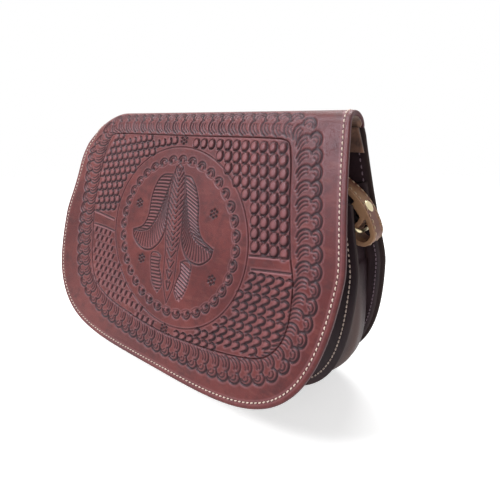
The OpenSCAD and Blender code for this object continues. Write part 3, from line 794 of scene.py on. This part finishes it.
def discGrid():
    n = hide["side"]
    line = np.linspace(-1, 1, n)
    x, y = np.meshgrid(line, line)
    disc = np.stack([x * np.sqrt(1 - y * y / 2), y * np.sqrt(1 - x * x / 2)], -1)
    u, v = medallion(disc[..., 0], disc[..., 1])
    index = np.arange(n * n).reshape(n, n)
    rim = np.concatenate([index[0, :-1], index[:-1, -1], index[-1, :0:-1], index[:0:-1, 0]])
    quads = np.stack([index[:-1, :-1], index[:-1, 1:], index[1:, 1:], index[1:, :-1]], -1)
    return u.ravel(), v.ravel(), quads.reshape(-1, 4), rim


discU, discV, discQuads, discRim = discGrid()
rimU, rimV = discU[discRim], discV[discRim]
rimAngle = np.arctan2(rimV - tooling["centre"][1], rimU - tooling["centre"][0])
rimFar = np.hypot(rimU - tooling["centre"][0], rimV - tooling["centre"][1])
around = len(discRim)


def alongRays(far):
    cu, cv = tooling["centre"]
    return cu + far * np.cos(rimAngle), cv + far * np.sin(rimAngle)


def makeMedallion():
    top = flapAt(discU, discV, -sample(relief, discU, discV))
    rows = []
    for share in (1.0, 0.8, 0.55, 0.3, 0.1, 0.02):
        u, v = alongRays(rimFar * share)
        rows.append(flapAt(u, v, bag["flapT"]))
    count = len(top)
    quads = [discQuads]
    wall = np.arange(around)
    after = (wall + 1) % around
    quads.append(np.stack([discRim[after], discRim[wall], count + wall, count + after], -1))
    for i in range(len(rows) - 1):
        a = count + i * around
        quads.append(np.stack([a + after, a + wall, a + around + wall, a + around + after], -1))
    last = count + (len(rows) - 1) * around + np.arange(around)
    under = np.zeros(len(rows) * around)
    # Painted shade and painted highlight of the tooling on the top face, none underneath
    values = {key: np.concatenate([sample(grid, discU, discV), under])
              for key, grid in (("paintedShade", paintedShade), ("paintedHighlight", paintedHighlight))}
    makePiece("flap_medallion", np.concatenate([top] + rows), np.concatenate(quads),
              [list(last[::-1])], "tooled", "flap", ("flap",),
              paint=np.zeros(count + len(under)), **values)


# Rows across a patch as far, depth and paint: first those of the tooled side
def patch(name, body, tops, unders):
    rows, values = [], {"paintedShade": [], "paintedHighlight": [], "paint": []}
    for i, (far, depth, paint) in enumerate(tops + unders):
        u, v = alongRays(far)
        tooled = float(i < len(tops))
        rows.append(flapAt(u, v, depth - tooled * sample(relief, u, v) * (depth == 0)))
        # Painted shade and painted highlight only on the tooled side
        values["paintedShade"].append(tooled * sample(paintedShade, u, v))
        values["paintedHighlight"].append(tooled * sample(paintedHighlight, u, v))
        values["paint"].append(np.full(around, paint))
    makePiece(name, np.concatenate(rows), ringFaces(len(rows), around, closed=True), [], "tooled",
              body, **{key: np.concatenate(data) for key, data in values.items()})


frameEdge = frameFar(rimAngle)
flapEdge = flapFar(rimAngle)


def makeField():
    tops = [(mix(rimFar, frameEdge, k), 0, 0) for k in np.linspace(0, 1, hide["fieldRows"])]
    unders = [(mix(rimFar, frameEdge, k), bag["flapT"], 0) for k in np.linspace(1, 0, 5)]
    patch("flap_field", "flap", tops, unders)


def makeBorder():
    r, s, t = hide["round"], 0.6 * hide["round"], bag["flapT"]
    k = np.linspace(0, 1, hide["borderRows"])
    tops = [(mix(frameEdge, flapEdge - r, share), 0, 0) for share in k]
    for turn in (30, 60, 90):
        a = math.radians(turn)
        tops.append((flapEdge - r + r * math.sin(a), r * (1 - math.cos(a)), turn / 90))
    for turn in (30, 60, 90):
        a = math.radians(turn)
        tops.append((flapEdge - s + s * math.cos(a), t - s + s * math.sin(a), 1.0))
    unders = [(mix(frameEdge, flapEdge - 2, share), t, 0) for share in np.linspace(1, 0, 9)]
    patch("flap_border", "seam", tops, unders)


makeMedallion()
makeField()
makeBorder()
print("flap made")


# One row of stitches: a short thread modelled once and laid along a line
def stitchRow(name, line, faces, look, body, pitch=2.75, length=2.3, radius=0.45, skew=0.0):
    points = spaced(np.concatenate([line, faces], 1), pitch=pitch)
    place, out = points[:, :3], points[:, 3:]
    centre = (place[:-1] + place[1:]) / 2
    out = (out[:-1] + out[1:]) / 2
    way = place[1:] - place[:-1]
    way /= np.linalg.norm(way, axis=1, keepdims=True)
    out -= way * (out * way).sum(1, keepdims=True)
    out /= np.linalg.norm(out, axis=1, keepdims=True)
    side = np.cross(out, way)
    shares = np.array([-1, -0.82, -0.4, 0.0, 0.4, 0.82, 1])
    girth = np.array([0.25, 0.72, 1, 1.05, 1, 0.72, 0.25])
    high = np.array([-0.55, -0.1, 0.32, 0.42, 0.32, -0.1, -0.55])
    turns = np.radians(np.arange(6) * 60)
    along = (shares[:, None] * length / 2 + 0 * turns).ravel()
    across = girth[:, None] * radius * np.cos(turns) + skew * (shares[:, None] + 0 * turns)
    across = across.ravel()
    up = (high[:, None] * radius * 1.6 + girth[:, None] * radius * 0.8 * np.sin(turns)).ravel()
    each = centre[:, None, :]
    for share, axis in ((along, way), (across, side), (up, out)):
        each = each + share[None, :, None] * axis[:, None, :]
    count = len(along)
    one = ringFaces(len(shares), len(turns))
    ends = ringEnds(len(shares), len(turns))
    quads = np.concatenate([one + i * count for i in range(len(centre))])
    wide = [[c + i * count for c in e] for i in range(len(centre)) for e in ends]
    return makePiece(name, each.reshape(-1, 3) * mm, quads, wide, look, body)


def flapStitches():
    line = flapAt(seamLine[:, 0], seamLine[:, 1], 0.05) * 1000
    out = flapAt(seamLine[:, 0], seamLine[:, 1], -1.0) * 1000 - line
    stitchRow("flap_stitches", line, out, "cream", "seam", stitching["pitch"],
              stitching["length"], stitching["radius"], 0.12)


flapStitches()

# Lining: suede on the flap's inner side
lining = {"rows": 40, "around": 360, "short": 0.5}


def makeLining():
    angle = np.linspace(-math.pi, math.pi, lining["around"], endpoint=False)
    far = flapFar(angle) - lining["short"]
    cu, cv = tooling["centre"]
    rows = []

    def row(share, depth):
        r = far * share
        return flapAt(cu + r * np.cos(angle), cv + r * np.sin(angle), depth)
    low = bag["flapT"] + bag["glue"]
    for share in np.linspace(0.01, 1, lining["rows"]):
        rows.append(row(share, low))
    for share in np.linspace(1, 0.01, lining["rows"]):
        rows.append(row(share - 0.002 * (share == 1), low + bag["liningT"]))
    size = len(rows), lining["around"]
    makePiece("flap_lining_suede", np.concatenate(rows), ringFaces(*size), ringEnds(*size),
              "suede", "seam", ("flap_lining",))


makeLining()


# A flat hide from its closed outline, with round painted edges
def makeHide(name, stands, look, loop, centre, place, thick, wear=None):
    edge = bag["round"]
    centre = np.asarray(centre, float)
    away = loop - centre
    size = np.linalg.norm(away, axis=1, keepdims=True)
    rows, paint = [], []

    def row(inset, share, depth, dark):
        rows.append(place(centre + away * (1 - inset / size) * share, depth))
        paint.append(np.full(len(loop), dark))
    shares = np.concatenate([np.linspace(0.01, 0.9, 10), np.linspace(0.92, 1, 5)])
    for share in shares:
        row(edge, share, 0.0, 0.0)
    for turn in (30, 60, 90):
        a = math.radians(turn)
        row(edge * (1 - math.sin(a)), 1, edge * (1 - math.cos(a)), turn / 90)
    for turn in (0, 30, 60, 90):
        a = math.radians(turn)
        row(edge * (1 - math.cos(a)), 1, thick - edge + edge * math.sin(a), 1.0)
    for share in shares[::-1][1:]:
        row(edge, share, thick, 0.0)
    points = np.concatenate(rows)
    size = len(rows), len(loop)
    wornAndLit = wear(points) if wear else np.zeros(len(points))
    makePiece(name, settle(points) * mm, ringFaces(*size), ringEnds(*size), look, "bag", (stands,),
              paint=np.concatenate(paint), wear=wornAndLit)


def closedHalf(points):
    return np.concatenate([points, points[::-1][:-1] * np.array([-1, 1])])


# Wavy unevenness of soft leather, the same on each run
def ripple(a, b, seed):
    rng = np.random.default_rng(seed)
    out = np.zeros(np.broadcast(a, b).shape)
    for k in range(6):
        fa, fb = rng.uniform(1.5, 9, 2)
        out = out + np.sin(fa * a * math.pi + fb * b * math.pi + rng.uniform(0, 6.28)) / (1 + k)
    return out / 2.45


def makePanels():
    front = outline(np.linspace(bag["frontMouth"], 1.999, 260), frontLength, bag["frontInset"])
    front = front[front[:, 1] <= bag["height"]]
    top = level(0, front[0, 0], 60, front[0, 1], False)
    loop = closedHalf(np.concatenate([top, front]))

    def inFront(p, depth):
        point = onFront(p, depth)
        bow = 0.5 * ripple(p[:, 0] / 120, p[:, 1] / 120, 3)
        point[:, 1] += bow * smooth((np.abs(point[:, 2] - 80) < 70) * 0.6)
        return point

    def rub(points):
        return 0.5 * smooth((28 - points[:, 2]) / 26)
    makeHide("front_panel_hide", "front_panel", "dark", loop, (0, 110), inFront, bag["panel"], rub)
    back = outline(np.linspace(0.07, 1.999, 260), backLength, bag["backInset"])
    back = back[back[:, 1] * math.cos(lean) <= bag["height"]]
    top = level(0, bag["topHalf"], 60, seamDrop + bag["seat"] / 2)
    loop = closedHalf(np.concatenate([top, back]))
    makeHide("back_panel_hide", "back_panel", "dark", loop, (0, 95), onBack, bag["panel"], rub)
    high = seamDrop + bag["seat"]
    low = high + bag["anchor"]
    narrow = bag["topHalf"] - bag["edge"]
    wide = outline(bag["backMouth"], backLength, bag["backInset"])[0] - 2 * bag["edge"]
    strip = spaced([(narrow, high), (wide, low)], 20)
    loop = closedHalf(np.concatenate([level(0, narrow, 60, high, False), strip,
                                      level(wide, 0, 60, low)[1:-1]]))
    makeHide("flap_anchor_hide", "flap_anchor", "suede", loop, (0, (seamDrop + low) / 2 + 0.2),
             lambda p, depth: onBack(p, bag["panel"] + depth), bag["flapT"])


makePanels()


# Gusset: flanges on both panels and a hollow between them that swells at the base
def gussetAt(p, k, inset, off):
    front = outline(mix(bag["frontMouth"], 2, p), frontLength, bag["frontInset"] + inset)
    back = outline(mix(bag["backMouth"], 2, p), backLength, bag["backInset"] + inset)
    front, back = onFront(front, bag["panel"]), onBack(back, bag["panel"])
    across = (back - front) / np.linalg.norm(back - front, axis=-1, keepdims=True)
    dip = bag["scoop"] * np.sqrt(np.maximum(np.sin(math.pi * k), 0)) * (1 - smooth(p / 0.34))
    point = mix(front, back, k[..., None]) + off[..., None] * across
    point[..., 2] -= dip
    return point


def gussetInset(p, k):
    grow = smooth((p - 0.34) / 0.28)
    rest = smooth((p - 0.68) / 0.2)
    middle = mix(mix(bag["foldIn"], -2.0, grow), -1.0, rest)
    return mix(bag["edge"] + bag["flange"], middle, np.sqrt(np.maximum(np.sin(math.pi * k), 0)))


def makeGusset():
    e, root, t = bag["edge"], bag["edge"] + bag["flange"], bag["gussetT"]
    ks = np.concatenate([[0.02, 0.05], np.linspace(0.1, 0.9, 25), [0.95, 0.98]])
    steps = np.linspace(0, 1, 150)
    lip = [(e + 0.4, 0), (e, 0.35 * t), (e, 0.7 * t), (e + 0.5, t), (e + 3, t), (root - 3, t),
           (root - 0.6, t)]
    section = [(0, far, off, 0) for far, off in lip] + [(k, 0, 0, 1) for k in ks]
    section += [(1, far, -off, 0) for far, off in lip[::-1]] + [(1, root + t, 0, 0)]
    section += [(k, t, 0, 1) for k in ks[::-1]] + [(0, root + t, 0, 0)]
    k = np.array([s[0] for s in section], float)
    inset, off, bulge = (np.array([s[i] for s in section], float) for i in (1, 2, 3))
    rows, wears, paints = [], [], []
    for side in (1, -1):
        for p in (steps if side == 1 else steps[::-1][1:]):
            ps = np.full(len(k), p)
            waves = 0.55 * np.sin(math.pi * k) * ripple(p * 2.2 + 0 * k, k * 0.8, 11 + side)
            fine = 0.4 * np.exp(-((k - 0.5) / 0.16) ** 2) * np.sin(46 * p)
            waves = waves + fine * smooth((0.5 - p) / 0.3)
            depth = inset + bulge * (gussetInset(ps, k) + waves)
            ring = gussetAt(ps, k, depth, off)
            least = np.where(inset * bulge > 0, t, 0.0) * bulge
            ring[:, 2] = np.maximum(ring[:, 2], least)
            ring[:, 0] *= side
            rows.append(ring)
            # Painted highlight along the gusset's ridge, where light catches it, and a lighter
            # strip at the flange roots
            ridge = np.exp(-((k - 0.42) / 0.2) ** 2) * bulge * smooth((p - 0.3) / 0.3)
            tip = 0.3 * np.exp(-((inset - root) / 2.0) ** 2) * (1 - bulge)
            wears.append(np.clip(ridge * (0.75 + 0.25 * ripple(p * 3 + 0 * k, k, 5)) + tip, 0, 1))
            paints.append(np.where((bulge == 0) & (inset < e + 0.45), 0.9, 0.0))
    size = len(rows), len(k)
    makePiece("gusset_hide", settle(np.concatenate(rows)) * mm, ringFaces(*size), ringEnds(*size),
              "dark", "bag", ("gusset",), wear=np.concatenate(wears), paint=np.concatenate(paints))


makeGusset()
print("body made")


# Stitches of the body: round the front panel, the back panel and both flanges
sewing = {"pitch": 2.9, "length": 2.4, "radius": 0.42}
seams = {"inset": 4.2, "flangeInset": bag["edge"] + 2.4, "seamInset": 3.2, "seamEnd": 5.5,
         "proud": 0.02, "clearOfRing": 104}


def bothSides(name, line, faces, look, place=None):
    for side, label in ((1, "right"), (-1, "left")):
        flip = np.array([side, 1, 1])
        points = place(line * flip) if place else line * flip
        stitchRow(name + "_" + label, points, faces * flip, look, "bag", **sewing)


def bodyStitches():
    half = outline(np.linspace(bag["frontMouth"] + 0.01, 1.98, 400), frontLength,
                   bag["frontInset"] + seams["inset"])
    line = onFront(half, -seams["proud"])
    bothSides("front_stitches", line, onFront(half, -seams["proud"] - 1) - line, "cream")
    half = outline(np.linspace(0.1, 1.98, 400), backLength, bag["backInset"] + seams["inset"])
    line = onBack(half, -seams["proud"])
    bothSides("back_stitches", line, onBack(half, -seams["proud"] - 1) - line, "cream", settle)
    end = bag["topHalf"] - seams["seamEnd"]
    near, far = seams["seamInset"], bag["anchor"] - seams["seamInset"]
    for label, low in (("upper", near), ("lower", far)):
        half = level(-end, end, 80, seamDrop + bag["seat"] + low)
        line = onBack(half, -seams["proud"])
        stitchRow("seam_stitches_" + label, settle(line), onBack(half, -seams["proud"] - 1) - line,
                  "cream", "bag", **sewing)
    half = outline(np.linspace(0.115, bag["backMouth"] + 0.01, 60), backLength,
                   bag["backInset"] + seams["flangeInset"])
    line = onBack(half, bag["panel"] + 0.05)
    bothSides("inner_stitches", line, onBack(half, bag["panel"] + 1.05) - line, "grey", settle)
    p = np.linspace(0.02, 0.985, 400)
    for name, k, off, look in (("flange_stitches_front", 0.0, bag["gussetT"], "cream"),
                               ("flange_stitches_rear", 1.0, -bag["gussetT"], "grey")):
        ks, inset = np.full(400, k), np.full(400, seams["flangeInset"])
        line = gussetAt(p, ks, inset, np.full(400, off))
        out = gussetAt(p, ks, inset, np.full(400, off * 2)) - line
        clear = (line[:, 2] < seams["clearOfRing"]) | (k > 0)
        bothSides(name, line[clear], out[clear], look)


bodyStitches()


# Soft leather bands from their solids: even small faces, then rounded edges
def softened(node, name, look, body, voxel, rounds, edgeOf=None):
    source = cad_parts[node]
    bpy.ops.object.select_all(action="DESELECT")
    mesh = source.data.copy()
    mesh.materials.clear()
    piece = bpy.data.objects.new(name, mesh)
    mesh.name = name
    bpy.context.scene.collection.objects.link(piece)
    piece.select_set(True)
    bpy.context.view_layer.objects.active = piece
    even = piece.modifiers.new("even", "REMESH")
    even.mode = "VOXEL"
    even.voxel_size = voxel * mm
    bpy.ops.object.modifier_apply(modifier=even.name)
    soft = piece.modifiers.new("soft", "SMOOTH")
    soft.factor = 0.5
    soft.iterations = rounds
    bpy.ops.object.modifier_apply(modifier=soft.name)
    bpy.ops.object.shade_smooth()
    piece.data.materials.clear()
    piece.data.materials.append(looks[look])
    if edgeOf:
        co = np.zeros(len(piece.data.vertices) * 3)
        piece.data.vertices.foreach_get("co", co)
        held = piece.data.attributes.new("paint", "FLOAT", "POINT")
        held.data.foreach_set("value", edgeOf(co.reshape(-1, 3) * 1000).astype(np.float32))
    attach(piece, body)
    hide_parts(node)
    return piece


low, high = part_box("strap_loop_right")
strapY = (low[1] + high[1]) * 500
strapHalf = (high[1] - low[1]) * 500


def strapEdge(points):
    return smooth((np.abs(points[:, 1] - strapY) - strapHalf + 0.8) / 0.5)


softened("strap_loop_right", "strap_loop_right_band", "strap", "strap_end_right", 0.4, 3, strapEdge)
softened("strap_loop_left", "strap_loop_left_band", "strap", "strap_end_left", 0.4, 3, strapEdge)
softened("strap", "strap_band", "strap", "bag", 0.8, 2, strapEdge)
softened("ring_tab_right", "ring_tab_right_band", "dark", "bag", 0.3, 3)
softened("ring_tab_left", "ring_tab_left_band", "dark", "bag", 0.3, 3)
print("straps made")

# Stitches along both edges of each strap end, over the leg and round the turn
strapEnd = {"bend": (91.7, 144.7), "turn": (112.7, 115.7), "turnR": 5.55, "half": 1.3, "inset": 2.1,
            "pull": 14.0, "leave": 28.0, "meet": 20.0, "last": -150.0}


def strapStitches():
    bend, turn = np.array(strapEnd["bend"]), np.array(strapEnd["turn"])
    leave, meet = math.radians(strapEnd["leave"]), math.radians(strapEnd["meet"])
    start = turn + strapEnd["turnR"] * np.array([math.cos(meet), math.sin(meet)])
    b = bend + strapEnd["pull"] * np.array([math.cos(leave), -math.sin(leave)])
    c = start + strapEnd["pull"] * np.array([-math.sin(meet), math.cos(meet)])
    t = np.linspace(0.02, 0.98, 60)[:, None]
    leg = cubic(bend, b, c, start, t)
    way = np.gradient(leg, axis=0)
    way /= np.linalg.norm(way, axis=1, keepdims=True)
    normal = np.stack([-way[:, 1], way[:, 0]], -1)
    angles = np.radians(np.linspace(strapEnd["meet"], strapEnd["last"], 50))
    spoke = np.stack([np.cos(angles), np.sin(angles)], -1)
    line = np.concatenate([leg, turn + strapEnd["turnR"] * spoke])
    normal = np.concatenate([normal, spoke])
    line = line + strapEnd["half"] * normal
    for side, label in ((1, "right"), (-1, "left")):
        for k, edge in ((-1, "front"), (1, "rear")):
            y = np.full(len(line), strapY + k * (strapHalf - strapEnd["inset"]))
            points = np.stack([side * line[:, 0], y, line[:, 1]], -1)
            out = np.stack([side * normal[:, 0], 0 * y, normal[:, 1]], -1)
            stitchRow("strap_stitches_%s_%s" % (edge, label), points, out, "strapThread",
                      "strap_end_" + label, 3.3, 2.4, 0.4)


strapStitches()

# Metal pieces keep their solids
for name in ("ring_right", "ring_left", "strap_rivet_right", "strap_rivet_left", "tab_rivet_right",
             "tab_rivet_left", "snap_socket", "snap_socket_plate", "snap_stud"):
    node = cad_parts[name]
    for slot in node.material_slots:
        slot.material = looks["brass"]


# Plain pale floor that fades into the background, soft studio light
stage = {"floor": 1.6, "near": 0.35, "far": 1.3, "back": 1.0, "fill": 0.28, "glow": 0.6}


def raysSeen():
    path = Wire.tree.nodes.new("ShaderNodeLightPath")
    rays = [Wire(path.outputs["Is %s Ray" % name]) for name in ("Camera", "Glossy", "Transmission")]
    return Wire.math("MINIMUM", rays[0] + rays[1] + rays[2], 1.0)


def floorLook():
    cloud = noise(3, 2.0, 0.5)
    place = Wire.add("ShaderNodeTexCoord", output=3)
    away = Wire.add("ShaderNodeVectorMath", {"operation": "LENGTH"}, {0: place}, 1)
    colour = blendColour(cloud, (0.80, 0.80, 0.80, 1), (0.83, 0.83, 0.83, 1))
    glow = blendColour(raysSeen(), (0, 0, 0, 1), (1, 1, 1, 1))
    return {"Base Color": colour, "Roughness": 0.75 + 0.1 * cloud, "Emission Color": glow,
            "Alpha": away.between(stage["near"], stage["far"], 1.0, 0.0)}


def makeStage():
    bpy.ops.mesh.primitive_plane_add(size=2 * stage["floor"], location=(0, 0, 0))
    floor = bpy.context.object
    floor.name = "floor"
    look = {"Emission Strength": stage["glow"], "Specular IOR Level": 0.1}
    floor.data.materials.append(material("floor", floorLook, **look))
    world = bpy.data.worlds.new("studio")
    bpy.context.scene.world = world
    world.use_nodes = True
    Wire.tree = world.node_tree
    Wire.tree.nodes.clear()
    dim = Wire.add("ShaderNodeBackground", None, {0: (1, 1, 1, 1), 1: stage["fill"]})
    bright = Wire.add("ShaderNodeBackground", None, {0: (1, 1, 1, 1), 1: stage["back"]})
    both = Wire.add("ShaderNodeMixShader", None, {0: raysSeen(), 1: dim, 2: bright})
    out = Wire.tree.nodes.new("ShaderNodeOutputWorld")
    Wire.tree.links.new(both.socket, out.inputs[0])


# Lamps: place, aim, side in metres and strength in watts
lamps = {"key": ((-0.42, -0.4, 1.2), (0.0, -0.03, 0.1), 0.26, 9.5),
         "sheen": ((-0.46, -0.84, 0.8), (0.06, -0.03, 0.13), 0.24, 8.0),
         "window": ((-0.1, 0.5, 1.0), (0.0, -0.02, 0.14), 0.5, 6.0),
         "front": ((0.6, -1.1, 0.7), (0.0, 0.0, 0.08), 0.8, 2.0)}


def makeLamps():
    for name, (place, aim, size, power) in lamps.items():
        bpy.ops.object.light_add(type="AREA", location=place)
        lamp = bpy.context.object
        lamp.name = "lamp_" + name
        lamp.data.size = size
        lamp.data.energy = power
        lamp.rotation_euler = (Vector(aim) - Vector(place)).to_track_quat("-Z", "Y").to_euler()


makeStage()
makeLamps()
makeCamera()
bpy.context.scene.view_settings.view_transform = "Standard"
print("stage made")
